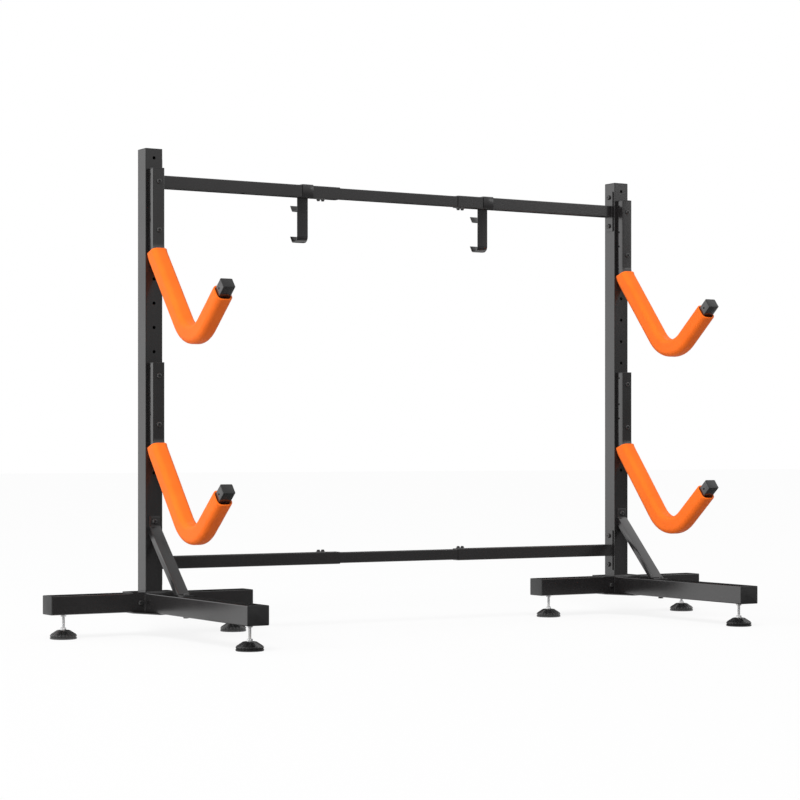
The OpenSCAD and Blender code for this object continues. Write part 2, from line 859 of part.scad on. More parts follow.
cross_tube(right);  // right_cross_tube
front_leg(right);  // right_front_leg
leg_bracket(right);  // right_leg_bracket
upright(right);  // right_upright
upright_cap(right);  // right_upright_cap
base_caps(right);  // right_base_caps
brace(right);  // right_brace
brace_bolts(right);  // right_brace_bolts
frame_bolts(right);  // right_frame_bolts
frame_nuts(right);  // right_frame_nuts
weld_nuts(right);  // right_weld_nuts
lock_nuts(right);  // right_lock_nuts
arm(right, arm_steps[0]);  // right_upper_arm
arm(right, arm_steps[1]);  // right_lower_arm
arm_caps(right);  // right_arm_caps
arm_bolts(right);  // right_arm_bolts
foam_sleeve(right, arm_steps[0]);  // right_upper_foam
foam_sleeve(right, arm_steps[1]);  // right_lower_foam
outer_tube(right, top_bar_z, -1);  // right_top_tube
outer_tube(right, low_bar_z, 1);  // right_bottom_tube
clamp_screws(right);  // right_clamp_screws
hook(right);  // right_hook
foot_stem(right, outer_foot);  // right_outer_stem
foot_pad(right, outer_foot);  // right_outer_pad
foot_stem(right, inner_foot);  // right_inner_stem
foot_pad(right, inner_foot);  // right_inner_pad
foot_stem(right, front_foot);  // right_front_stem
foot_pad(right, front_foot);  // right_front_pad

inner_tube(top_bar_z);  // top_inner_tube
inner_tube(low_bar_z);  // bottom_inner_tube
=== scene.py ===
import math

import bmesh
import bpy
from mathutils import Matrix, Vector


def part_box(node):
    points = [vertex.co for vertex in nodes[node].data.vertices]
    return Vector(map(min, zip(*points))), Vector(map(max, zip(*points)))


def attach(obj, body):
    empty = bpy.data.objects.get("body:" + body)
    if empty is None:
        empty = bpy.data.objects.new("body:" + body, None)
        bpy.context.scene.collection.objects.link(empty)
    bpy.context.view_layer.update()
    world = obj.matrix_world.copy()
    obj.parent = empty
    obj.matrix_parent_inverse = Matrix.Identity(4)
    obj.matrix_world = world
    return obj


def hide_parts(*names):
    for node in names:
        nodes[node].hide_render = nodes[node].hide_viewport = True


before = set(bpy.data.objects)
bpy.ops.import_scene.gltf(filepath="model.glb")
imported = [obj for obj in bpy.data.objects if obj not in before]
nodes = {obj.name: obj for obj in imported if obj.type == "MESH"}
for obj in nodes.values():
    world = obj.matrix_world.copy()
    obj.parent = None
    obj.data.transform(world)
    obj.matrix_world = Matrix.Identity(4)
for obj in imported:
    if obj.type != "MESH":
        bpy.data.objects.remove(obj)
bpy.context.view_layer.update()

scene = bpy.context.scene
print("model of the rack loaded,", len(nodes), "solids")

mm = 0.001
near = mm / 10  # what is closer than this is taken as the same place
sides = ("left", "right")
levels = ("upper", "lower")
corners = ("outer", "inner", "front")


# Selecting and applying

def workOn(piece):
    bpy.ops.object.select_all(action="DESELECT")
    piece.select_set(True)
    bpy.context.view_layer.objects.active = piece


def startEdit(piece, mode="FACE"):
    workOn(piece)
    bpy.ops.object.mode_set(mode="EDIT")
    bpy.ops.mesh.select_mode(type=mode)
    bpy.ops.mesh.select_all(action="DESELECT")


def endEdit():
    bpy.ops.object.mode_set(mode="OBJECT")


def pickFaces(piece, test):
    bpy.ops.mesh.select_mode(type="FACE")
    bpy.ops.mesh.select_all(action="DESELECT")
    mesh = bmesh.from_edit_mesh(piece.data)
    mesh.normal_update()
    for face in mesh.faces:
        if test(face.calc_center_median(), face.normal):
            face.select_set(True)
    bmesh.update_edit_mesh(piece.data)


# Tests for pickFaces: which way a face looks
def isUp(co, normal):
    return normal.z > 0.9


def isDown(co, normal):
    return normal.z < -0.9


def pickVerts(piece, test):
    bpy.ops.mesh.select_mode(type="VERT")
    bpy.ops.mesh.select_all(action="DESELECT")
    mesh = bmesh.from_edit_mesh(piece.data)
    for vert in mesh.verts:
        if test(vert.co):
            vert.select_set(True)
    mesh.select_flush(True)
    bmesh.update_edit_mesh(piece.data)


def pickEdges(piece, test):
    bpy.ops.mesh.select_mode(type="EDGE")
    bpy.ops.mesh.select_all(action="DESELECT")
    mesh = bmesh.from_edit_mesh(piece.data)
    for edge in mesh.edges:
        if test(edge.verts[0].co, edge.verts[1].co):
            edge.select_set(True)
    bmesh.update_edit_mesh(piece.data)


def applyPlace(piece):
    workOn(piece)
    bpy.ops.object.transform_apply(location=True, rotation=True, scale=True)


def newest(name):
    piece = bpy.context.active_object
    piece.name = name
    piece.data.name = name
    applyPlace(piece)
    return piece


def addCylinder(name, radius, depth, place, turn=(0, 0, 0), vertices=48):
    bpy.ops.mesh.primitive_cylinder_add(
        vertices=vertices, radius=radius, depth=depth, location=place,
        rotation=[math.radians(a) for a in turn])
    return newest(name)


def applyModifier(piece, kind, **settings):
    workOn(piece)
    modifier = piece.modifiers.new(kind.title(), kind)
    for key, value in settings.items():
        setattr(modifier, key, value)
    bpy.ops.object.modifier_apply(modifier=modifier.name)


def cutWith(piece, cutters, operation="DIFFERENCE"):
    for cutter in cutters:
        applyModifier(piece, "BOOLEAN", object=cutter, operation=operation, solver="EXACT")
        bpy.data.objects.remove(cutter)


def softenEdges(piece, width, segments, angle):
    applyModifier(piece, "BEVEL", width=width, segments=segments, limit_method="ANGLE",
                  angle_limit=math.radians(angle), use_clamp_overlap=False)


# Closes the seams and turns the faces outwards, before a wall gets its thickness
def turnOutwards(piece):
    startEdit(piece)
    bpy.ops.mesh.select_all(action="SELECT")
    bpy.ops.mesh.remove_doubles(threshold=0.005 * mm)
    bpy.ops.mesh.normals_make_consistent(inside=False)
    endEdit()


def copyTo(source, name, place, turn=(0, 0, 0)):
    workOn(source)
    bpy.ops.object.duplicate()
    piece = bpy.context.active_object
    piece.location = place
    piece.rotation_euler = [math.radians(a) for a in turn]
    return newest(name)


def joinAs(pieces, name):
    workOn(pieces[0])
    for piece in pieces[1:]:
        piece.select_set(True)
    if len(pieces) > 1:
        bpy.ops.object.join()
    return newest(name)


# Walking along a bent path in the YZ plane. A heading of 0 runs down, 90 runs to
# the front and 180 runs up.

def ahead(heading):
    a = math.radians(heading)
    return Vector((0, -math.sin(a), -math.cos(a)))


def inward(heading):
    a = math.radians(heading)
    return Vector((0, -math.cos(a), math.sin(a)))


# Extrudes and spins what is selected: ("run", length, parts) or ("bend", radius, turn, parts)
def walk(point, heading, steps):
    for step in steps:
        if step[0] == "run":
            move = ahead(heading) * step[1] / step[2]
            for _ in range(step[2]):
                bpy.ops.mesh.extrude_region_move(TRANSFORM_OT_translate={"value": move})
            point = point + ahead(heading) * step[1]
        else:
            radius, turn, parts = step[1:]
            center = point + math.copysign(radius, turn) * inward(heading)
            bpy.ops.mesh.spin(steps=parts, angle=math.radians(turn), center=center, axis=(1, 0, 0))
            heading += turn
            point = center - math.copysign(radius, turn) * inward(heading)
    return point, heading


# Where the CAD puts things, and the sizes of its tubes

tubes = {
    "post": 50 * mm, "baseWidth": 60 * mm, "baseHeight": 50 * mm,
    "barDepth": 30 * mm, "barHeight": 34 * mm, "plate": 3 * mm,
}


def middle(node):
    low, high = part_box(node)
    return (low + high) / 2


def topOf(node):
    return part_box(node)[1].z


uprightX = {side: middle(side + "_upright").x for side in sides}
toMiddle = {"left": 1, "right": -1}
railY = middle("left_upright").y
uprightFace = railY - tubes["post"] / 2
baseMid = middle("left_cross_tube").z
flangeOut = tubes["post"] / 2 + tubes["plate"]  # from an upright's middle to its flanges' face


# Materials. Shared effects are groups: they put out colours, values and heights.

def newGroup(name, inputs, outputs):
    group = bpy.data.node_groups.new(name, "ShaderNodeTree")
    for label, kind, value in inputs:
        socket = group.interface.new_socket(name=label, in_out="INPUT", socket_type=kind)
        if value is not None:
            socket.default_value = value
    for label, kind in outputs:
        group.interface.new_socket(name=label, in_out="OUTPUT", socket_type=kind)
    return group, group.nodes.new("NodeGroupInput"), group.nodes.new("NodeGroupOutput")


def addNode(tree, kind, **settings):
    node = tree.nodes.new("ShaderNode" + kind)
    for key, value in settings.items():
        if key in node.inputs:
            node.inputs[key].default_value = value
        else:
            setattr(node, key, value)
    return node


number, colour, vector = "NodeSocketFloat", "NodeSocketColor", "NodeSocketVector"

# A Mix node's sockets go by place: 0 is the share, 2 and 3 are its numbers, 6 and 7 its colours

# A height made of a coarse and a fine noise, such as orange peel or moulded grain
grain, inlet, outlet = newGroup(
    "surfaceGrain",
    [("Vector", vector, None), ("Coarse", number, 600), ("Fine", number, 2400),
     ("Fineness", number, 0.4)],
    [("Height", number)])
coarse = addNode(grain, "TexNoise", Detail=1.5, Roughness=0.5)
fine = addNode(grain, "TexNoise", Detail=2.0, Roughness=0.6)
blend = addNode(grain, "Mix", data_type="FLOAT")
for noise, scaleName in ((coarse, "Coarse"), (fine, "Fine")):
    grain.links.new(inlet.outputs["Vector"], noise.inputs["Vector"])
    grain.links.new(inlet.outputs[scaleName], noise.inputs["Scale"])
grain.links.new(inlet.outputs["Fineness"], blend.inputs[0])
grain.links.new(coarse.outputs[0], blend.inputs[2])
grain.links.new(fine.outputs[0], blend.inputs[3])
grain.links.new(blend.outputs[0], outlet.inputs["Height"])

# Soft patches that lift or lower a colour and a roughness a little
patches, inlet, outlet = newGroup(
    "softPatches",
    [("Vector", vector, None), ("Size", number, 8), ("Color", colour, None),
     ("Other Color", colour, None), ("Roughness", number, 0.4), ("Swing", number, 0.05)],
    [("Color", colour), ("Roughness", number)])
cloud = addNode(patches, "TexNoise", Detail=4.0, Roughness=0.55)
spread = addNode(patches, "MapRange")  # stretches the middle of the noise to full contrast
spread.inputs["From Min"].default_value = 0.35
spread.inputs["From Max"].default_value = 0.65
mixColour = addNode(patches, "Mix", data_type="RGBA")
centred = addNode(patches, "Math", operation="SUBTRACT")
centred.inputs[1].default_value = 0.5  # so that the roughness swings both ways
swing = addNode(patches, "Math", operation="MULTIPLY_ADD")
patches.links.new(inlet.outputs["Vector"], cloud.inputs["Vector"])
patches.links.new(inlet.outputs["Size"], cloud.inputs["Scale"])
patches.links.new(cloud.outputs[0], spread.inputs["Value"])
patches.links.new(spread.outputs[0], mixColour.inputs[0])
patches.links.new(inlet.outputs["Color"], mixColour.inputs[6])
patches.links.new(inlet.outputs["Other Color"], mixColour.inputs[7])
patches.links.new(spread.outputs[0], centred.inputs[0])
patches.links.new(centred.outputs[0], swing.inputs[0])
patches.links.new(inlet.outputs["Swing"], swing.inputs[1])
patches.links.new(inlet.outputs["Roughness"], swing.inputs[2])
patches.links.new(mixColour.outputs[2], outlet.inputs["Color"])
patches.links.new(swing.outputs[0], outlet.inputs["Roughness"])


# A surface with patchy colour and roughness and a grained bump, from one dictionary
def finishOf(name, look):
    material = bpy.data.materials.new(name)
    material.use_nodes = True
    tree = material.node_tree
    shader = tree.nodes["Principled BSDF"]
    place = addNode(tree, "TexCoord")
    patch = addNode(tree, "Group", node_tree=patches)
    grained = addNode(tree, "Group", node_tree=grain)
    bump = addNode(tree, "Bump")
    for key in ("Size", "Color", "Other Color", "Roughness", "Swing"):
        patch.inputs[key].default_value = look[key]
    for key in ("Coarse", "Fine", "Fineness"):
        grained.inputs[key].default_value = look[key]
    bump.inputs["Strength"].default_value = look["Bump"]
    bump.inputs["Distance"].default_value = look["Depth"]
    for node in (patch, grained):
        tree.links.new(place.outputs["Object"], node.inputs["Vector"])
    tree.links.new(patch.outputs["Color"], shader.inputs["Base Color"])
    tree.links.new(patch.outputs["Roughness"], shader.inputs["Roughness"])
    tree.links.new(grained.outputs["Height"], bump.inputs["Height"])
    tree.links.new(bump.outputs["Normal"], shader.inputs["Normal"])
    for key, value in look.get("Shader", {}).items():
        shader.inputs[key].default_value = value
    return material


coatLook = {
    "Size": 9, "Color": (0.0112, 0.0104, 0.0106, 1), "Other Color": (0.0128, 0.0119, 0.0122, 1),
    "Roughness": 0.20, "Swing": 0.04, "Coarse": 420, "Fine": 1500, "Fineness": 0.35,
    "Bump": 0.10, "Depth": 0.20 * mm, "Shader": {"IOR": 1.65, "Specular IOR Level": 0.75},
}
capLook = {
    "Size": 60, "Color": (0.0085, 0.0085, 0.0088, 1), "Other Color": (0.0115, 0.0113, 0.0115, 1),
    "Roughness": 0.46, "Swing": 0.06, "Coarse": 1600, "Fine": 4200, "Fineness": 0.5,
    "Bump": 0.25, "Depth": 0.12 * mm, "Shader": {"Specular IOR Level": 0.72},
}
footLook = {
    "Size": 50, "Color": (0.0075, 0.0075, 0.0078, 1), "Other Color": (0.0105, 0.0103, 0.0105, 1),
    "Roughness": 0.25, "Swing": 0.06, "Coarse": 1300, "Fine": 3600, "Fineness": 0.5,
    "Bump": 0.2, "Depth": 0.12 * mm, "Shader": {"Specular IOR Level": 1.0},
}
screwLook = {
    "Size": 140, "Color": (0.020, 0.020, 0.021, 1), "Other Color": (0.034, 0.033, 0.033, 1),
    "Roughness": 0.26, "Swing": 0.08, "Coarse": 2500, "Fine": 6000, "Fineness": 0.5,
    "Bump": 0.15, "Depth": 0.08 * mm, "Shader": {"Metallic": 0.25, "IOR": 1.9},
}
zincLook = {
    "Size": 180, "Color": (0.80, 0.81, 0.83, 1), "Other Color": (0.90, 0.89, 0.87, 1),
    "Roughness": 0.30, "Swing": 0.12, "Coarse": 2200, "Fine": 5200, "Fineness": 0.5,
    "Bump": 0.12, "Depth": 0.06 * mm, "Shader": {"Metallic": 0.55},
}
foamLook = {
    "Size": 14, "Color": (0.88, 0.150, 0.0135, 1), "Other Color": (0.92, 0.166, 0.0162, 1),
    "Roughness": 0.52, "Swing": 0.08, "Coarse": 900, "Fine": 2600, "Fineness": 0.55,
    "Bump": 0.35, "Depth": 0.25 * mm,
    "Shader": {"Specular IOR Level": 0.12, "Sheen Weight": 0.03, "Sheen Roughness": 0.4},
}
blackCoat = finishOf("blackPowderCoat", coatLook)
capPlastic = finishOf("mouldedCapPlastic", capLook)
footPlastic = finishOf("mouldedFootPlastic", footLook)
screwBlack = finishOf("blackenedScrews", screwLook)
zincPlate = finishOf("zincPlate", zincLook)
orangeFoam = finishOf("orangeFoam", foamLook)
print("materials made")


def finishPiece(piece, material, body, replaced=(), smoothAngle=35):
    workOn(piece)
    bpy.ops.object.shade_smooth_by_angle(angle=math.radians(smoothAngle))
    piece.data.materials.clear()
    piece.data.materials.append(material)
    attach(piece, body)
    if replaced:
        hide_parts(*replaced)


# Solids of the CAD that stay get their finish on their own slots
keptSolids = {
    "cross_tube": blackCoat, "front_leg": blackCoat, "leg_bracket": blackCoat, "upright": blackCoat,
    "top_tube": blackCoat, "bottom_tube": blackCoat, "weld_nuts": zincPlate,
}
for side in sides:
    for part, material in keptSolids.items():
        nodes[side + "_" + part].material_slots[0].material = material
for bar in ("top", "bottom"):
    nodes[bar + "_inner_tube"].material_slots[0].material = blackCoat
print("kept solids have their finish")


# Arms

armShape = {
    "width": 34 * mm, "depth": 30 * mm, "cornerRadius": 2.4 * mm, "cornerParts": 5,
    "wall": 2 * mm, "capThickness": 3 * mm,
    "shank": 225 * mm, "rearLength": 352.7 * mm, "frontLength": 248 * mm,
    "lean": 40.2, "bendRadius": 60 * mm, "bendParts": 12,
    "turn": 90, "seatRadius": 95 * mm, "seatParts": 26,
    "sideHoles": (17.5 * mm, 96.5 * mm, 139.5 * mm), "sideHoleShift": 3 * mm,
    "sideHoleRadius": 3 * mm, "tipHoleInset": 19 * mm,
    "boltDrops": (36 * mm, 166 * mm), "boltHoleRadius": 4.5 * mm,
}
bendTangent = armShape["bendRadius"] * math.tan(math.radians(armShape["lean"] / 2))
seatTangent = armShape["seatRadius"] * math.tan(math.radians(armShape["turn"] / 2))
bendFrom = Vector((0, 0, bendTangent - armShape["shank"]))
rearRun = armShape["rearLength"] - bendTangent - seatTangent


# A rounded rectangle of edges in the XY plane, left selected in edit mode
def squareRing(name, width, height, cornerRadius, place, parts):
    bpy.ops.mesh.primitive_plane_add(size=1, location=place)
    bpy.context.active_object.scale = (width, height, 1)
    ring = newest(name)
    startEdit(ring, "VERT")
    bpy.ops.mesh.select_all(action="SELECT")
    bpy.ops.mesh.bevel(offset=cornerRadius, segments=parts, affect="VERTICES")
    bpy.ops.mesh.select_all(action="SELECT")
    bpy.ops.mesh.delete(type="ONLY_FACE")
    bpy.ops.mesh.select_mode(type="EDGE")
    bpy.ops.mesh.select_all(action="SELECT")
    return ring


def modelArm(shape):
    start = Vector((0, 0, -shape["capThickness"]))
    arm = squareRing("armTube", shape["width"], shape["depth"], shape["cornerRadius"],
                     start, shape["cornerParts"])
    tip, heading = walk(start, 0, [
        ("run", start.z - bendFrom.z, 1),
        ("bend", shape["bendRadius"], shape["lean"], shape["bendParts"]),
        ("run", rearRun, 1),
        ("bend", shape["seatRadius"], shape["turn"], shape["seatParts"]),
        ("run", shape["frontLength"] - seatTangent, 1)])
    endEdit()
    turnOutwards(arm)
    applyModifier(arm, "SOLIDIFY", thickness=shape["wall"], offset=-1, use_even_offset=True)
    reach = shape["width"] * 1.2  # a cutter passes both walls
    tipHole = tip - shape["tipHoleInset"] * ahead(heading)
    holes = [addCylinder("cutter", shape["boltHoleRadius"], reach, (0, 0, -drop), (90, 0, 0))
             for drop in shape["boltDrops"]]
    holes += [addCylinder("cutter", shape["sideHoleRadius"], reach,
                          (0, shape["sideHoleShift"], -drop), (0, 90, 0))
              for drop in shape["sideHoles"]]
    holes.append(addCylinder("cutter", shape["sideHoleRadius"], reach, tipHole, (0, 90, 0)))
    cutWith(arm, holes)
    return arm, tip, heading


armPattern, armTip, tipHeading = modelArm(armShape)
armPlace = {}
for side in sides:
    for level in levels:
        node = side + "_" + level + "_arm"
        armPlace[side, level] = Vector((
            uprightX[side], uprightFace - armShape["depth"] / 2,
            topOf(node) + armShape["capThickness"]))
        arm = copyTo(armPattern, side + level.title() + "Arm", armPlace[side, level])
        finishPiece(arm, blackCoat, side + "_frame", [node])
bpy.data.objects.remove(armPattern)
print("arms bent and drilled")


# Foam sleeves with broad flat sides, swept along the arms and pressed flat against the uprights

foamShape = {
    "width": 45.6 * mm, "depth": 50.6 * mm, "cornerRadius": 15 * mm, "cornerParts": 8,
    "sideCuts": 3, "wall": 4.9 * mm, "bareAngle": 20, "bendParts": 4, "seatParts": 20,
    "frontLength": 214 * mm, "rimRounding": 1.3 * mm, "rimParts": 4, "rimAngle": 60,
    "gapToUpright": 0.4 * mm, "step": 9 * mm, "unevenness": 0.35 * mm, "unevenSize": 0.05,
    "smoothAngle": 50,
}


def modelFoam(shape, arm):
    bare = shape["bareAngle"]
    start = bendFrom + arm["bendRadius"] * (inward(0) - inward(bare))
    foam = squareRing("foamSleeve", shape["width"], shape["depth"], shape["cornerRadius"],
                      (0, 0, 0), shape["cornerParts"])
    pickEdges(foam, lambda a, b: (a - b).length > shape["cornerRadius"] / 2)
    bpy.ops.mesh.subdivide(number_cuts=shape["sideCuts"])
    endEdit()
    foam.location = start
    foam.rotation_euler.x = math.radians(-bare)
    applyPlace(foam)
    startEdit(foam, "EDGE")
    bpy.ops.mesh.select_all(action="SELECT")
    frontRun = shape["frontLength"] - seatTangent
    walk(start, bare, [
        ("bend", arm["bendRadius"], arm["lean"] - bare, shape["bendParts"]),
        ("run", rearRun, round(rearRun / shape["step"])),
        ("bend", arm["seatRadius"], arm["turn"], shape["seatParts"]),
        ("run", frontRun, round(frontRun / shape["step"]))])
    endEdit()
    turnOutwards(foam)
    cloudTexture = bpy.data.textures.new("foamUnevenness", "CLOUDS")
    cloudTexture.noise_scale = shape["unevenSize"]
    applyModifier(foam, "DISPLACE", texture=cloudTexture, strength=shape["unevenness"],
                  mid_level=0.5)
    flatAt = arm["depth"] / 2 - shape["gapToUpright"]
    startEdit(foam)
    pickVerts(foam, lambda co: co.y > flatAt)
    bpy.ops.transform.resize(value=(1, 0, 1), center_override=(0, flatAt, 0))
    endEdit()
    applyModifier(foam, "SOLIDIFY", thickness=shape["wall"], offset=-1, use_even_offset=True)
    softenEdges(foam, shape["rimRounding"], shape["rimParts"], shape["rimAngle"])
    return foam


foamPattern = modelFoam(foamShape, armShape)
for side in sides:
    for level in levels:
        foam = copyTo(foamPattern, side + level.title() + "Foam", armPlace[side, level])
        finishPiece(foam, orangeFoam, side + "_frame",
                    [side + "_" + level + "_foam"], foamShape["smoothAngle"])
bpy.data.objects.remove(foamPattern)
print("foam sleeves fitted")


# Plastic caps

capShape = {
    "thickness": 3 * mm, "cornerRadius": 2.4 * mm, "cornerParts": 6,
    "edgeRounding": 0.9 * mm, "edgeParts": 3,
    "plugDepth": 10 * mm, "plugInset": 2.2 * mm, "plugWall": 2 * mm,
}


# A cap on the end of a tube, its rim on the XY plane and its hollow plug below
def modelCap(name, width, height, cornerRadius, shape):
    bpy.ops.mesh.primitive_cube_add(size=1, location=(0, 0, shape["thickness"] / 2))
    bpy.context.active_object.scale = (width, height, shape["thickness"])
    cap = newest(name)
    startEdit(cap)
    pickEdges(cap, lambda a, b: (a - b).xy.length < near)
    bpy.ops.mesh.bevel(offset=cornerRadius, segments=shape["cornerParts"], affect="EDGES")
    pickFaces(cap, isDown)
    bpy.ops.mesh.inset(thickness=shape["plugInset"])
    bpy.ops.mesh.extrude_region_move(TRANSFORM_OT_translate={"value": (0, 0, -shape["plugDepth"])})
    bpy.ops.mesh.inset(thickness=shape["plugWall"])
    bpy.ops.mesh.extrude_region_move(TRANSFORM_OT_translate={"value": (0, 0, shape["plugDepth"])})
    pickFaces(cap, lambda co, normal: isUp(co, normal) and co.z > shape["thickness"] / 2)
    bpy.ops.mesh.bevel(offset=shape["edgeRounding"], segments=shape["edgeParts"], affect="EDGES")
    endEdit()
    return cap


capPatterns = {
    "upright": modelCap("uprightCapPattern", tubes["post"], tubes["post"],
                        capShape["cornerRadius"], capShape),
    "base": modelCap("baseCapPattern", tubes["baseWidth"], tubes["baseHeight"],
                     capShape["cornerRadius"], capShape),
    "arm": modelCap("armCapPattern", armShape["width"], armShape["depth"],
                    armShape["cornerRadius"], capShape),
}
for side in sides:
    body = side + "_frame"
    cap = copyTo(capPatterns["upright"], side + "UprightCap",
                 (uprightX[side], railY, topOf(side + "_upright")))
    finishPiece(cap, capPlastic, body, [side + "_upright_cap"])
    crossLow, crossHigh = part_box(side + "_cross_tube")
    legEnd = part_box(side + "_front_leg")[0].y
    ends = [
        copyTo(capPatterns["base"], "cap", (crossLow.x, railY, baseMid), (90, 0, -90)),
        copyTo(capPatterns["base"], "cap", (crossHigh.x, railY, baseMid), (90, 0, 90)),
        copyTo(capPatterns["base"], "cap", (uprightX[side], legEnd, baseMid), (90, 0, 0))]
    finishPiece(joinAs(ends, side + "BaseCaps"), capPlastic, body,
                [side + "_base_caps"])
    ends = []
    for level in levels:
        place = armPlace[side, level]
        top = place - Vector((0, 0, armShape["capThickness"]))
        ends.append(copyTo(capPatterns["arm"], "cap", top))
        ends.append(copyTo(capPatterns["arm"], "cap", place + armTip, (180 - tipHeading, 0, 0)))
    finishPiece(joinAs(ends, side + "ArmCaps"), capPlastic, body,
                [side + "_arm_caps"])
for pattern in capPatterns.values():
    bpy.data.objects.remove(pattern)
print("caps pressed in")


# Brace from the upright to the front leg: a bent strip with two flanges

braceShape = {
    "width": 34 * mm, "thickness": 3 * mm, "depth": 16 * mm, "tab": 14 * mm,
    "topBoltZ": 306.7 * mm, "reach": 195 * mm, "bendRadius": 6 * mm, "bendParts": 5,
    "edgeRounding": 0.7 * mm, "edgeParts": 3, "edgeAngle": 50,
    "boltHoleRadius": 4.5 * mm, "cutterLength": 8 * mm,
}


# One edge along X, selected, from which a strip is extruded
def startStrip(name, width, place):
    bpy.ops.mesh.primitive_plane_add(size=1, location=place)
    bpy.context.active_object.scale = (width, width, 1)
    strip = newest(name)
    startEdit(strip, "VERT")
    pickVerts(strip, lambda co: co.y > place[1])
    bpy.ops.mesh.delete(type="VERT")
    bpy.ops.mesh.select_all(action="SELECT")
    bpy.ops.transform.translate(value=(0, width / 2, 0))
    bpy.ops.mesh.select_mode(type="EDGE")
    bpy.ops.mesh.select_all(action="SELECT")
    return strip


def modelBrace(shape):
    half = shape["thickness"] / 2
    face = -tubes["post"] / 2
    footY = face - shape["reach"]
    top = Vector((0, face - half, shape["topBoltZ"] + shape["tab"]))
    knee = Vector((0, top.y, shape["topBoltZ"] - shape["tab"]))
    ankle = Vector((0, footY + shape["tab"], topOf("left_front_leg") + half))
    slope = math.degrees(math.atan2(knee.y - ankle.y, knee.z - ankle.z))
    trimTop = shape["bendRadius"] * math.tan(math.radians(slope / 2))
    trimLow = shape["bendRadius"] * math.tan(math.radians((90 - slope) / 2))
    brace = startStrip("bracePattern", shape["width"] - shape["thickness"], top)
    walk(top, 0, [
        ("run", top.z - knee.z - trimTop, 1),
        ("bend", shape["bendRadius"], slope, shape["bendParts"]),
        ("run", (knee - ankle).length - trimTop - trimLow, 1),
        ("bend", shape["bendRadius"], 90 - slope, shape["bendParts"]),
        ("run", 2 * shape["tab"] - trimLow, 1)])
    edgeX = (shape["width"] - shape["thickness"]) / 2
    longEnough = (knee - ankle).length / 2
    pickEdges(brace, lambda a, b: abs(abs(a.x) - edgeX) < near and abs(a.x - b.x) < near
              and (a - b).length > longEnough)
    depth = shape["depth"] - half
    bpy.ops.mesh.extrude_region_move(TRANSFORM_OT_translate={"value": -depth * inward(slope)})
    # The flanges' ends are mitred to the upright and to the leg
    middleZ = (knee.z + ankle.z) / 2 - depth * inward(slope).z
    mitre = math.tan(math.radians(slope))
    for isTop, factor in ((True, 1 / mitre), (False, -mitre)):
        pickVerts(brace, lambda co: abs(co.x) > edgeX - near
                  and (co - knee).dot(inward(slope)) < -depth / 2
                  and ankle.y < co.y < face + depth and (co.z > middleZ) == isTop)
        bpy.ops.transform.translate(value=ahead(slope) * depth * factor)
    endEdit()
    turnOutwards(brace)
    applyModifier(brace, "SOLIDIFY", thickness=shape["thickness"], offset=0, use_even_offset=True)
    softenEdges(brace, shape["edgeRounding"], shape["edgeParts"], shape["edgeAngle"])
    cutWith(brace, [
        addCylinder("cutter", shape["boltHoleRadius"], shape["cutterLength"],
                    (0, top.y, shape["topBoltZ"]), (90, 0, 0)),
        addCylinder("cutter", shape["boltHoleRadius"], shape["cutterLength"],
                    (0, footY, ankle.z))])
    return brace


bracePattern = modelBrace(braceShape)
for side in sides:
    brace = copyTo(bracePattern, side + "Brace", (uprightX[side], railY, 0))
    finishPiece(brace, blackCoat, side + "_frame", [side + "_brace"])
bpy.data.objects.remove(bracePattern)
print("braces folded")


# Paddle hooks: a strap over the bar with two fingers at the back

hookShape = {
    "width": 34 * mm, "thickness": 2 * mm, "gap": 0.3 * mm,
    "drop": 157 * mm, "fingerDrop": 70.5 * mm, "reach": 43 * mm, "fingerHeight": 18 * mm,
    "saddleRadius": 2 * mm, "saddleParts": 4, "heelRadius": 16 * mm, "heelParts": 12,
    "lipLean": 34, "lipRadius": 8 * mm, "lipParts": 8,
    "edgeRounding": 0.45 * mm, "edgeParts": 2, "edgeAngle": 50,
}


# A hook around the middle of the bar that it hangs on
def modelHook(shape):
    half = shape["thickness"] / 2
    back = tubes["barDepth"] / 2
    strapY = back + shape["gap"] + half
    top = tubes["barHeight"] / 2
    saddleZ = top + shape["gap"] + half
    radius, heel, saddle = shape["lipRadius"], shape["heelRadius"], shape["saddleRadius"]
    floorZ = top - shape["drop"] + half
    lipTurn = shape["lipLean"] - 90
    lean = math.radians(shape["lipLean"])
    rise = radius * (1 - math.cos(math.radians(lipTurn)))
    lipRun = (shape["fingerHeight"] - half - rise) / math.cos(lean)
    flatTo = (back + shape["reach"] - lipRun * math.sin(lean)
              + radius * math.sin(math.radians(lipTurn)) - half)
    lip = [("bend", radius, lipTurn, shape["lipParts"]), ("run", lipRun, 1)]
    saddleBend = ("bend", saddle, 90, shape["saddleParts"])
    strips = []
    start = Vector((0, -strapY, -top))
    strips.append(startStrip("hookPattern", shape["width"], start))
    walk(start, 180, [
        ("run", saddleZ - saddle + top, 1), saddleBend,
        ("run", 2 * (strapY - saddle), 1), saddleBend,
        ("run", saddleZ - saddle - floorZ - heel, 1), ("bend", heel, -90, shape["heelParts"]),
        ("run", flatTo - strapY - heel, 1), *lip])
    endEdit()
    start = Vector((0, strapY + half / 2, top - shape["fingerDrop"] + half))
    strips.append(startStrip("upperFinger", shape["width"], start))
    walk(start, -90, [("run", flatTo - start.y, 1), *lip])
    endEdit()
    for strip in strips:
        turnOutwards(strip)
        applyModifier(strip, "SOLIDIFY", thickness=shape["thickness"], offset=0,
                      use_even_offset=True)
        softenEdges(strip, shape["edgeRounding"], shape["edgeParts"], shape["edgeAngle"])
    cutWith(strips[0], strips[1:], "UNION")
    return strips[0]


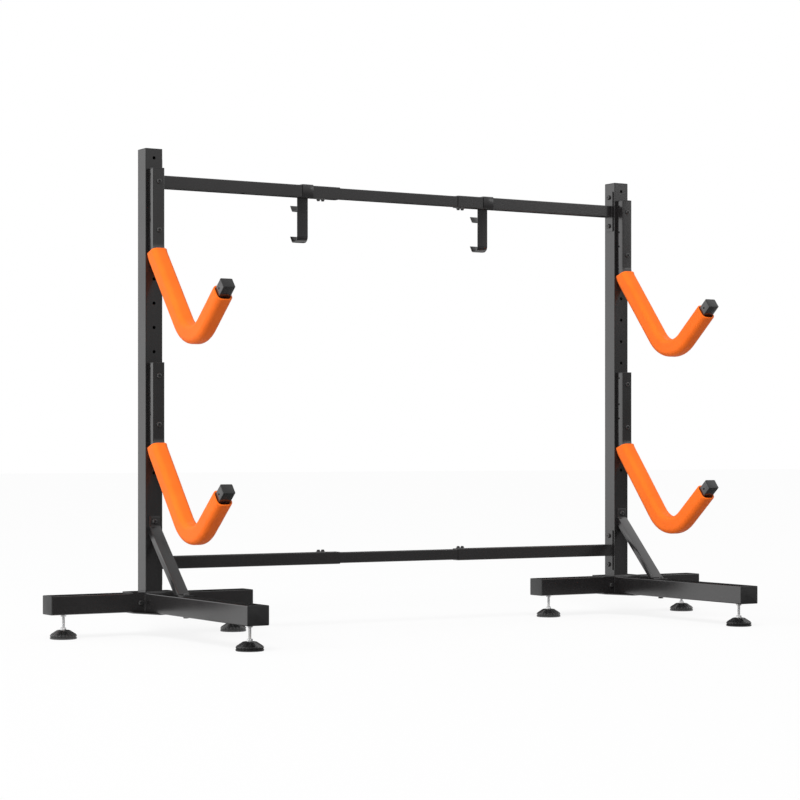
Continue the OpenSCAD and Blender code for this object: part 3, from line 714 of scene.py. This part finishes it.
hookPattern = modelHook(hookShape)
topBarZ = middle("top_inner_tube").z
lowBarZ = middle("bottom_inner_tube").z
for side in sides:
    hook = copyTo(hookPattern, side + "Hook", (middle(side + "_hook").x, railY, topBarZ))
    finishPiece(hook, blackCoat, side + "_hook", [side + "_hook"])
bpy.data.objects.remove(hookPattern)
print("hooks bent")


# Bolts and nuts. A bolt has its head below its own zero and its shank above.

boltShape = {
    "headRadius": 7 * mm, "headHeight": 5 * mm, "dome": 3.3 * mm, "shankRadius": 4 * mm,
    "socketAcross": 5 * mm, "socketDepth": 2.6 * mm, "endChamfer": 0.8 * mm,
    "sides": 40, "domeParts": 6,
}
frameBoltShape = {**boltShape, "dome": 2.3 * mm, "socketAcross": 4 * mm, "socketDepth": 0.9 * mm}
clampShape = {
    **boltShape, "headRadius": 4.5 * mm, "headHeight": 3 * mm, "dome": 1.9 * mm,
    "shankRadius": 2.5 * mm, "socketAcross": 3 * mm, "socketDepth": 1.6 * mm,
    "endChamfer": 0.4 * mm,
}
boltLengths = {"arm": 86.5 * mm, "brace": 59.5 * mm, "frame": 11.5 * mm, "clamp": 5.5 * mm}
nutShape = {
    "across": 13 * mm, "height": 6.5 * mm, "chamfer": 1.1 * mm, "chamferParts": 3,
    "cornerTrim": 0.995, "bore": 4.05 * mm, "boreSides": 32,
}
boltPlaces = {
    "flangeHalf": 43.3 * mm, "collarX": 43 * mm, "bossHeight": 4 * mm,
    "clampInset": {"left": 48 * mm, "right": 9 * mm}, "clampPitch": 14 * mm,
}


def modelBolt(name, length, shape):
    bolt = addCylinder(name, shape["headRadius"], shape["headHeight"],
                       (0, 0, -shape["headHeight"] / 2), vertices=shape["sides"])
    startEdit(bolt)
    pickFaces(bolt, isDown)
    bpy.ops.mesh.bevel(offset=shape["dome"], segments=shape["domeParts"], affect="EDGES")
    pickFaces(bolt, isUp)
    bpy.ops.mesh.inset(thickness=shape["headRadius"] - shape["shankRadius"])
    bpy.ops.mesh.extrude_region_move(TRANSFORM_OT_translate={"value": (0, 0, length)})
    bpy.ops.mesh.bevel(offset=shape["endChamfer"], segments=1, affect="EDGES")
    endEdit()
    deep = 2 * shape["socketDepth"]
    socket = addCylinder("socket", shape["socketAcross"] / math.sqrt(3), deep,
                         (0, 0, -shape["headHeight"]), vertices=6)
    cutWith(bolt, [socket])
    return bolt


# A nut on the XY plane: a hexagon whose corners a chamfered disc trims
def modelNut(name, shape):
    corner = shape["across"] / math.sqrt(3)
    nut = addCylinder(name, corner, shape["height"], (0, 0, shape["height"] / 2), vertices=6)
    turned = addCylinder("turned", corner * shape["cornerTrim"], shape["height"],
                         (0, 0, shape["height"] / 2))
    startEdit(turned)
    pickFaces(turned, lambda co, normal: isUp(co, normal) or isDown(co, normal))
    bpy.ops.mesh.bevel(offset=shape["chamfer"], segments=shape["chamferParts"], affect="EDGES")
    endEdit()
    cutWith(nut, [turned], "INTERSECT")
    cutWith(nut, [addCylinder("bore", shape["bore"], 3 * shape["height"], (0, 0, 0),
                              vertices=shape["boreSides"])])
    return nut


armBolt = modelBolt("armBoltPattern", boltLengths["arm"], boltShape)
braceBolt = modelBolt("braceBoltPattern", boltLengths["brace"], boltShape)
frameBolt = modelBolt("frameBoltPattern", boltLengths["frame"], frameBoltShape)
clampScrew = modelBolt("clampScrewPattern", boltLengths["clamp"], clampShape)
nutPattern = modelNut("nutPattern", nutShape)

collarFace = railY - tubes["baseWidth"] / 2 - tubes["plate"]
legTop, legUnder = topOf("left_front_leg"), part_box("left_front_leg")[0].z
braceFootY = uprightFace - braceShape["reach"]
footPlace = {(side, corner): middle(side + "_" + corner + "_pad")
             for side in sides for corner in corners}
clampPlaces = {}
for side in sides:
    x, body, inner = uprightX[side], side + "_frame", toMiddle[side]
    armBoltZ = [armPlace[side, level].z - drop
                for level in levels for drop in armShape["boltDrops"]]
    bolts = [copyTo(armBolt, "bolt", (x, uprightFace - armShape["depth"], z), (-90, 0, 0))
             for z in armBoltZ]
    finishPiece(joinAs(bolts, side + "ArmBolts"), screwBlack, body,
                [side + "_arm_bolts"])

    braceTop = (x, uprightFace - braceShape["thickness"], braceShape["topBoltZ"])
    braceFoot = (x, braceFootY, legTop + braceShape["thickness"])
    bolts = [copyTo(braceBolt, "bolt", braceTop, (-90, 0, 0)),
             copyTo(braceBolt, "bolt", braceFoot, (180, 0, 0))]
    finishPiece(joinAs(bolts, side + "BraceBolts"), screwBlack, body,
                [side + "_brace_bolts"])

    bolts = [copyTo(frameBolt, "bolt",
                    (x + inner * flangeOut, railY, barZ + up * boltPlaces["flangeHalf"]),
                    (0, -90 * inner, 0))
             for barZ in (topBarZ, lowBarZ) for up in (-1, 1)]
    bolts += [copyTo(frameBolt, "bolt", (x + along * boltPlaces["collarX"], collarFace, baseMid),
                     (-90, 0, 0))
              for along in (-1, 1)]
    finishPiece(joinAs(bolts, side + "FrameBolts"), screwBlack, body,
                [side + "_frame_bolts"])

    nuts = [copyTo(nutPattern, "nut", (x, railY + tubes["post"] / 2, z), (-90, 0, 0))
            for z in armBoltZ + [braceShape["topBoltZ"]]]
    nuts.append(copyTo(nutPattern, "nut", (x, braceFootY, legUnder - nutShape["height"])))
    finishPiece(joinAs(nuts, side + "FrameNuts"), screwBlack, body,
                [side + "_frame_nuts"])

    nuts = [copyTo(nutPattern, "nut",
                   (*footPlace[side, corner].xy, legUnder - nutShape["height"]))
            for corner in corners]
    finishPiece(joinAs(nuts, side + "LockNuts"), zincPlate, body, [side + "_lock_nuts"])

    # Two screws stand on bosses at each outer tube's end, below the top bar and above the low one
    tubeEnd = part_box(side + "_top_tube")[1 if side == "left" else 0].x
    bossTop = tubes["barHeight"] / 2 + boltPlaces["bossHeight"]
    clampPlaces[side] = [
        (tubeEnd - inner * (boltPlaces["clampInset"][side] + extra), barZ + face * bossTop, face)
        for barZ, face in ((topBarZ, -1), (lowBarZ, 1)) for extra in (0, boltPlaces["clampPitch"])]
    screws = [copyTo(clampScrew, "screw", (screwX, railY, screwZ), (90 + 90 * face, 0, 0))
              for screwX, screwZ, face in clampPlaces[side]]
    finishPiece(joinAs(screws, side + "ClampScrews"), screwBlack, body,
                [side + "_clamp_screws"])
for pattern in (armBolt, braceBolt, frameBolt, clampScrew, nutPattern):
    bpy.data.objects.remove(pattern)
print("bolts and nuts in place")


# Levelling feet: a threaded stem with its hexagon, and a ribbed pad

footShape = {
    "stemRadius": 4 * mm, "rootRadius": 3.4 * mm, "pitch": 1.25 * mm, "threadSides": 20,
    "threadSmoothAngle": 25,
    "stemFrom": 8 * mm, "stemTo": 85 * mm, "hexFrom": 23.6 * mm,
    "padRadius": 35.5 * mm, "padHeight": 23.6 * mm, "boreGap": 0.05 * mm,
    "notches": 24, "partsPerNotch": 8, "notchDepth": 1.0 * mm,
    "notchHeight": 11.2 * mm, "notchedFrom": 30 * mm,
    "ribHeight": 0.9 * mm, "ribInset": 0.5 * mm, "ribFrom": 14 * mm, "ribTo": 21 * mm,
    # Up to this share of the way from one notch to the next, this much of the notch's depth
    "notchForm": ((0.05, 1.0), (0.15, 0.75)),
    # Rings of the pad from the floor up: radius and height
    "rings": ((34.3 * mm, 0), (35.5 * mm, 1.2 * mm), (35.5 * mm, 4.4 * mm),
              (33.9 * mm, 5.4 * mm), (33.9 * mm, 6.6 * mm), (35.2 * mm, 7.6 * mm),
              (35.2 * mm, 10.2 * mm), (34.2 * mm, 11.5 * mm), (33.2 * mm, 12.0 * mm),
              (16.4 * mm, 22.8 * mm), (15.2 * mm, 23.6 * mm)),
}


# A thread: half a ridge is drawn, wound up as a screw and cut flat at both ends
def modelStem(shape):
    turns = round((shape["stemTo"] - shape["stemFrom"]) / shape["pitch"]) + 3
    low = shape["stemFrom"] - 1.5 * shape["pitch"]
    bpy.ops.mesh.primitive_plane_add(size=shape["pitch"], rotation=(math.radians(90), 0, 0),
                                     location=(shape["rootRadius"], 0, low))
    stem = newest("stemPattern")
    startEdit(stem, "VERT")
    pickVerts(stem, lambda co: co.x < shape["rootRadius"])
    bpy.ops.mesh.delete(type="VERT")
    bpy.ops.mesh.select_all(action="SELECT")
    bpy.ops.mesh.subdivide(number_cuts=1)
    bpy.ops.mesh.select_all(action="SELECT")
    bpy.ops.transform.translate(value=(-shape["pitch"] / 2, 0, 0))
    pickVerts(stem, lambda co: abs(co.z - low) < shape["pitch"] / 4)
    bpy.ops.transform.translate(value=(shape["stemRadius"] - shape["rootRadius"], 0, 0))
    endEdit()
    applyModifier(stem, "SCREW", screw_offset=shape["pitch"], iterations=turns,
                  steps=shape["threadSides"], render_steps=shape["threadSides"], axis="Z",
                  use_merge_vertices=True, merge_threshold=0.002 * mm)
    turnOutwards(stem)
    startEdit(stem)
    for height, clearLow in ((shape["stemFrom"], True), (shape["stemTo"], False)):
        bpy.ops.mesh.select_all(action="SELECT")
        bpy.ops.mesh.bisect(plane_co=(0, 0, height), plane_no=(0, 0, 1), use_fill=True,
                            clear_inner=clearLow, clear_outer=not clearLow)
    endEdit()
    turnOutwards(stem)
    return stem


def modelPad(shape):
    count = shape["notches"] * shape["partsPerNotch"]
    sector = 2 * math.pi / shape["notches"]
    rings = shape["rings"]
    radius = rings[0][0]
    bpy.ops.mesh.primitive_circle_add(vertices=count, radius=radius, fill_type="NGON")
    pad = newest("padPattern")

    def partOf(co):  # 0 in the middle of a notch, 0.5 between two notches
        turn = (math.atan2(co.y, co.x) / sector) % 1
        return min(turn, 1 - turn)

    startEdit(pad)
    bpy.ops.mesh.select_all(action="SELECT")
    height = 0
    for nextRadius, nextHeight in rings[1:]:
        bpy.ops.mesh.extrude_region_move(
            TRANSFORM_OT_translate={"value": (0, 0, nextHeight - height)})
        scale = nextRadius / radius
        bpy.ops.transform.resize(value=(scale, scale, 1), center_override=(0, 0, nextHeight))
        radius, height = nextRadius, nextHeight
    bpy.ops.mesh.inset(thickness=radius - shape["stemRadius"] - shape["boreGap"])
    bpy.ops.mesh.extrude_region_move(
        TRANSFORM_OT_translate={"value": (0, 0, shape["stemFrom"] - shape["padHeight"])})
    for reach, depth in shape["notchForm"]:
        pickVerts(pad, lambda co: reach - 1 / shape["partsPerNotch"] < partOf(co) < reach
                  and co.xy.length > shape["notchedFrom"] and co.z < shape["notchHeight"])
        shrink = 1 - shape["notchDepth"] * depth / shape["padRadius"]
        bpy.ops.transform.resize(value=(shrink, shrink, 1), center_override=(0, 0, 0))
    pickFaces(pad, lambda co, normal: 0.3 < normal.z < 0.95 and partOf(co) > 0.24
              and shape["ribFrom"] < co.z < shape["ribTo"])  # the cone, between two notches
    bpy.ops.mesh.inset(thickness=shape["ribInset"], depth=shape["ribHeight"])
    endEdit()
    turnOutwards(pad)
    return pad


stemPattern = modelStem(footShape)
hexPattern = modelNut("hexPattern", nutShape)
padPattern = modelPad(footShape)
for side in sides:
    for corner in corners:
        name = side + corner.title()
        place = (*footPlace[side, corner].xy, 0)
        body = side + "_" + corner + "_foot"
        stem = copyTo(stemPattern, name + "Stem", place)
        finishPiece(stem, zincPlate, body, [side + "_" + corner + "_stem"],
                    footShape["threadSmoothAngle"])
        hexagon = copyTo(hexPattern, name + "Hex", (place[0], place[1], footShape["hexFrom"]))
        finishPiece(hexagon, zincPlate, body)
        pad = copyTo(padPattern, name + "Pad", place)
        finishPiece(pad, footPlastic, body, [side + "_" + corner + "_pad"])
for pattern in (stemPattern, hexPattern, padPattern):
    bpy.data.objects.remove(pattern)
print("feet turned and ribbed")


# Weld beads where the tubes meet

weldShape = {
    "radius": 1.5 * mm, "ringStep": 2.2 * mm, "ripple": 0.28 * mm, "sidesAround": 10,
    "tubeCorner": 2 * mm, "cornerParts": 3, "smoothAngle": 60,
    "bossFoot": 7.9 * mm, "bossTop": 5.1 * mm, "bossHeight": 3.0 * mm, "bossSides": 36,
    "bossRounding": 0.6 * mm, "bossRoundParts": 3, "bossRipple": 0.05,
}


# A rippled bead around a tube of that size, in the XY plane
def modelBead(name, width, height, shape):
    ring = squareRing(name, width, height, shape["tubeCorner"], (0, 0, 0), shape["cornerParts"])
    cuts = round(max(width, height) / shape["ringStep"])
    pickEdges(ring, lambda a, b: (a - b).length > height / 2)
    bpy.ops.mesh.subdivide(number_cuts=cuts)
    endEdit()
    workOn(ring)
    bpy.ops.object.convert(target="CURVE")
    ring.data.bevel_depth = shape["radius"]
    ring.data.bevel_resolution = shape["sidesAround"] // 2 - 2
    bpy.ops.object.convert(target="MESH")
    bead = bpy.context.active_object
    turnOutwards(bead)
    startEdit(bead, "VERT")
    step = shape["ringStep"] * 2
    pickVerts(bead, lambda co: (co.x + co.y + 1) % step < step / 2)
    bpy.ops.transform.shrink_fatten(value=-shape["ripple"])
    endEdit()
    return bead


# A fillet of weld around the boss of a clamp screw, standing on the XY plane
def modelBossBead(shape):
    bead = addCylinder("bossBead", shape["bossFoot"], shape["bossHeight"],
                       (0, 0, shape["bossHeight"] / 2), vertices=shape["bossSides"])
    startEdit(bead)
    pickFaces(bead, isUp)
    shrink = shape["bossTop"] / shape["bossFoot"]
    bpy.ops.transform.resize(value=(shrink, shrink, 1), center_override=(0, 0, shape["bossHeight"]))
    bpy.ops.mesh.bevel(offset=shape["bossRounding"], segments=shape["bossRoundParts"],
                       affect="EDGES")
    sector = 2 * math.pi / shape["bossSides"]
    pickVerts(bead, lambda co: co.z < near and round(math.atan2(co.y, co.x) / sector) % 2 == 0)
    shrink = 1 - shape["bossRipple"]
    bpy.ops.transform.resize(value=(shrink, shrink, 1), center_override=(0, 0, 0))
    endEdit()
    return bead


collarTop = topOf("left_leg_bracket")
postBead = modelBead("postBead", tubes["post"], tubes["post"], weldShape)
legBead = modelBead("legBead", tubes["baseWidth"], tubes["baseHeight"], weldShape)
barBead = modelBead("barBead", tubes["barDepth"], tubes["barHeight"], weldShape)
bossBead = modelBossBead(weldShape)
for side in sides:
    x, body, inner = uprightX[side], side + "_frame", toMiddle[side]
    beads = [copyTo(postBead, "bead", (x, railY, collarTop)),
             copyTo(legBead, "bead", (x, collarFace, baseMid), (90, 0, 0))]
    beads += [copyTo(barBead, "bead", (x + inner * flangeOut, railY, barZ), (90, 0, 90))
              for barZ in (topBarZ, lowBarZ)]
    beads += [copyTo(bossBead, "bead", (screwX, railY, screwZ - face * boltPlaces["bossHeight"]),
                     (90 - 90 * face, 0, 0))
              for screwX, screwZ, face in clampPlaces[side]]
    finishPiece(joinAs(beads, side + "Welds"), blackCoat, body,
                smoothAngle=weldShape["smoothAngle"])
for pattern in (postBead, legBead, barBead, bossBead):
    bpy.data.objects.remove(pattern)
print("seams welded")


# Camera, floor and light

cameraSetup = {
    "place": (-3.4358, -5.3729, 0.4990), "turn": (90, 0, -31.332), "lens": 103.88,
    "sensor": 36, "shiftUp": 0.0620, "clipEnd": 200,
}
bpy.ops.object.camera_add(location=cameraSetup["place"],
                          rotation=[math.radians(a) for a in cameraSetup["turn"]])
camera = bpy.context.active_object
camera.data.lens = cameraSetup["lens"]
camera.data.sensor_width = cameraSetup["sensor"]
camera.data.shift_y = cameraSetup["shiftUp"]
camera.data.clip_end = cameraSetup["clipEnd"]
scene.camera = camera

studio = {
    "floorSize": 80, "floorColor": (0.48, 0.48, 0.48, 1), "seenFloorColor": (0.80, 0.80, 0.80, 1),
    "floorGlow": 0.85, "worldLight": 0.50,
    "sun": {"turn": (42, 0, -38), "strength": 2.3, "angle": 25},
    "softBox": {"place": (-12.0, -1.0, 3.1), "aim": (0, 0, 0.7), "size": 7.0, "power": 820},
}
# Glowing cards that only the gloss sees, not lamps: painted reflections. Place, turn, size,
# brightness at the foot and at the top.
# Dark, pale and graded ones paint the reflections that give the black faces their shades.
paintedReflectionCards = {
    # Nearly black, behind at the right: a painted dark reflection on faces that look back.
    "backDarkReflection": ((3.1, 5.0, 2.2), (90, 0, 0), (5.6, 4.4), 0.01, 0.01),
    # Graded, in front: a painted reflection, dark near the floor and bright up high, on the front
    # faces.
    "frontGradedReflection": ((3.4, -5.4, 2.5), (90, 0, 20), (11.0, 5.0), 0.03, 0.88),
    # A bright strip at the front right: a painted highlight on bolt heads and on the arms' bends.
    "paintedHighlightStrip": ((5.75, -4.4, 2.4), (90, 0, 20), (3.4, 0.40), 2.1, 2.1),
    # Nearly black, at the front left: a painted dark reflection on the rounded left corners.
    "leftDarkReflection": ((-4.2, -4.0, 1.5), (90, 0, -50), (8.0, 3.0), 0.02, 0.02),
    # Dark patches lying on the floor at the front right: painted dark reflections where the floor
    # is mirrored.
    "floorDarkReflection": ((3.12, -3.30, 0.002), (0, 0, 0), (8.56, 6.66), 0.12, 0.12),
    "farFloorDarkReflection": ((4.3, -3.9, 0.004), (0, 0, 0), (6.2, 5.8), 0.25, 0.25),
    # Pale patch lying on the floor at the back left: a painted bright reflection of the floor.
    "leftFloorPaleReflection": ((-2.2, 2.65, 0.002), (0, 0, 0), (2.4, 4.7), 0.82, 0.82),
    # Pale and bright cards far back left, the far one brighter than the world: a painted bright
    # reflection on the left faces.
    "backLeftPaleReflection": ((-5.5, 12.0, 2.0), (90, 0, 0), (2.8, 4.0), 0.80, 0.80),
    "farLeftBrightReflection": ((-8.4, 12.0, 2.0), (90, 0, 0), (2.8, 4.0), 1.25, 1.25),
    # Dark patch lying on the floor behind: a painted dark reflection of the floor.
    "backFloorDarkReflection": ((3.1, 3.2, 0.002), (0, 0, 0), (6.8, 3.6), 0.05, 0.05),
    # Dim, overhead: a painted dim reflection on faces that look up.
    "ceilingDimReflection": ((0.2, -1.2, 5.0), (0, 0, 0), (5.2, 8.0), 0.50, 0.50),
}
bpy.ops.mesh.primitive_plane_add(size=studio["floorSize"], location=(0, 0, 0))
floor = newest("studioFloor")


# 1 for rays from the camera and for those that gloss and glass send on, 0 for all other light
def seenAsBackground(tree):
    rays = addNode(tree, "LightPath")
    largest = addNode(tree, "Math", operation="MAXIMUM")
    largestOfAll = addNode(tree, "Math", operation="MAXIMUM")
    tree.links.new(rays.outputs["Is Camera Ray"], largest.inputs[0])
    tree.links.new(rays.outputs["Is Glossy Ray"], largest.inputs[1])
    tree.links.new(largest.outputs[0], largestOfAll.inputs[0])
    tree.links.new(rays.outputs["Is Transmission Ray"], largestOfAll.inputs[1])
    return largestOfAll.outputs[0]


floorMaterial = bpy.data.materials.new("paleFloor")
floorMaterial.use_nodes = True
tree = floorMaterial.node_tree
shader = tree.nodes["Principled BSDF"]
shader.inputs["Roughness"].default_value = 0.9
shader.inputs["Specular IOR Level"].default_value = 0.0
glow = addNode(tree, "Emission", Color=(1, 1, 1, 1), Strength=1.0)
share = addNode(tree, "Math", operation="MULTIPLY")
share.inputs[1].default_value = studio["floorGlow"]
mixed = addNode(tree, "MixShader")
seen = seenAsBackground(tree)
tree.links.new(seen, share.inputs[0])
floorColour = addNode(tree, "Mix", data_type="RGBA")
floorColour.inputs[6].default_value = studio["floorColor"]
floorColour.inputs[7].default_value = studio["seenFloorColor"]
tree.links.new(seen, floorColour.inputs[0])
tree.links.new(floorColour.outputs[2], shader.inputs["Base Color"])
tree.links.new(share.outputs[0], mixed.inputs[0])
tree.links.new(shader.outputs[0], mixed.inputs[1])
tree.links.new(glow.outputs[0], mixed.inputs[2])
tree.links.new(mixed.outputs[0], tree.nodes["Material Output"].inputs["Surface"])
floor.data.materials.append(floorMaterial)

world = bpy.data.worlds.new("studioWorld")
scene.world = world
world.use_nodes = True
tree = world.node_tree
background = tree.nodes["Background"]
brightness = addNode(tree, "MapRange")
brightness.inputs["To Min"].default_value = studio["worldLight"]
brightness.inputs["To Max"].default_value = 1.0
tree.links.new(seenAsBackground(tree), brightness.inputs["Value"])
tree.links.new(brightness.outputs[0], background.inputs["Strength"])
background.inputs["Color"].default_value = (1, 1, 1, 1)


# A card's glow, its painted reflection, runs with the height, from low at a standing card's foot to
# high at its top
def paintedReflectionGlow(name, height, low, high):
    material = bpy.data.materials.new(name)
    material.use_nodes = True
    tree = material.node_tree
    tree.nodes.remove(tree.nodes["Principled BSDF"])
    place = addNode(tree, "TexCoord")
    axes = addNode(tree, "SeparateXYZ")
    level = addNode(tree, "MapRange")
    level.inputs["From Max"].default_value = height
    level.inputs["To Min"].default_value = low
    level.inputs["To Max"].default_value = high
    shade = addNode(tree, "Emission")
    tree.links.new(place.outputs["Object"], axes.inputs[0])
    tree.links.new(axes.outputs["Z"], level.inputs["Value"])
    tree.links.new(level.outputs[0], shade.inputs["Strength"])
    tree.links.new(shade.outputs[0], tree.nodes["Material Output"].inputs["Surface"])
    return material


# Each card glows and shows only in the gloss: the painted reflections listed above.
for name, (place, turn, size, low, high) in paintedReflectionCards.items():
    bpy.ops.mesh.primitive_plane_add(size=1, location=place,
                                     rotation=[math.radians(a) for a in turn])
    bpy.context.active_object.scale = (*size, 1)
    reflectionPlane = newest(name)
    reflectionPlane.data.materials.append(paintedReflectionGlow(name + "Shade", size[1], low, high))
    reflectionPlane.visible_camera = False
    reflectionPlane.visible_diffuse = False
    reflectionPlane.visible_transmission = False
    reflectionPlane.visible_shadow = False

bpy.ops.object.light_add(type="SUN", rotation=[math.radians(a) for a in studio["sun"]["turn"]])
sun = bpy.context.active_object
sun.data.energy = studio["sun"]["strength"]
sun.data.angle = math.radians(studio["sun"]["angle"])
setup = studio["softBox"]
bpy.ops.object.light_add(type="AREA", location=setup["place"])
softBox = bpy.context.active_object
aim = Vector(setup["aim"]) - softBox.location
softBox.rotation_euler = aim.to_track_quat("-Z", "Y").to_euler()
softBox.data.size = setup["size"]
softBox.data.energy = setup["power"]
# The lamps stay out of the gloss, and the glowing cards paint all the reflections.
for lamp in (sun, softBox):  # the cards make the gloss, so the lamps aren't mirrored
    lamp.visible_camera = False
    lamp.visible_glossy = False
scene.view_settings.view_transform = "Standard"
print("camera, floor and lamps set")
